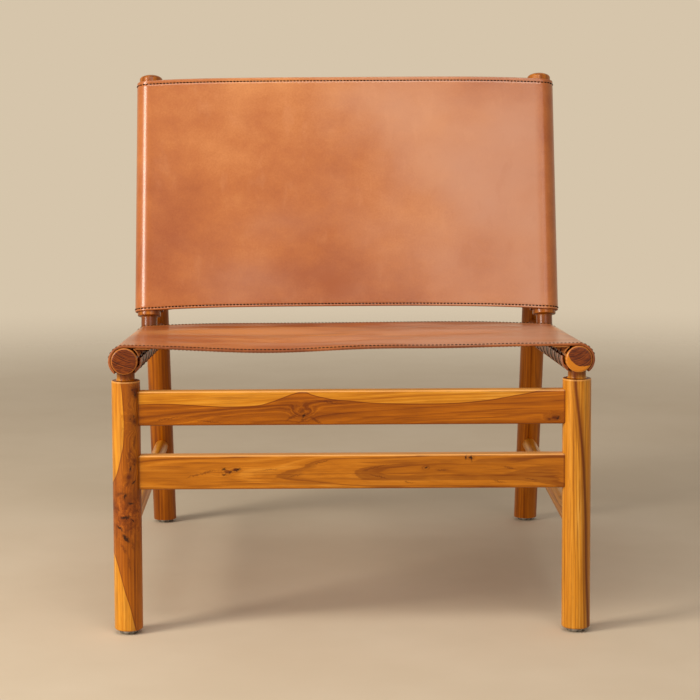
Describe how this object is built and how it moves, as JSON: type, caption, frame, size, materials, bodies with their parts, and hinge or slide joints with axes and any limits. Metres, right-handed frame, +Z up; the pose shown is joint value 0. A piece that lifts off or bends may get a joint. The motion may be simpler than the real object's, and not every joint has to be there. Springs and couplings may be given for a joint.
{
  "type": "leather sling lounge chair",
  "caption": "Low lounge chair with leather seat and back panels wrapped round the rails and posts of two A-shaped side frames of turned hardwood, joined by flat cross rails.",
  "frame": {"origin": "on the floor under the middle of the chair's bounding box", "axes": "+X to the right of someone facing the chair's front, +Y from the front legs towards the back, +Z up; the sitter faces -Y"},
  "size_m": [0.6426, 0.7538, 0.7429],
  "materials": {
    "wood": "oiled satin",
    "leather": "semi-gloss saddle leather",
    "lace": "waxed dark brown",
    "glide": "nickel plated"
  },
  "bodies": {
    "root": {"front_leg_left": "wood", "front_leg_right": "wood", "rear_leg_left": "wood", "rear_leg_right": "wood", "seat_rail_left": "wood", "seat_rail_right": "wood", "back_post_left": "wood", "back_post_right": "wood", "side_stretcher_left": "wood", "side_stretcher_right": "wood", "front_rail_upper": "wood", "front_rail_lower": "wood", "rear_rail_upper": "wood", "rear_rail_lower": "wood", "foot_glide_front_left": "glide", "foot_glide_front_right": "glide", "foot_glide_rear_left": "glide", "foot_glide_rear_right": "glide", "seat_sling": "leather", "back_sling": "leather", "seat_lacing_strip_left": "leather", "seat_lacing_strip_right": "leather", "back_lacing_strip_left": "leather", "back_lacing_strip_right": "leather", "seat_lace_left": "lace", "seat_lace_right": "lace", "back_lace_left": "lace", "back_lace_right": "lace"}
  },
  "joints": []
}
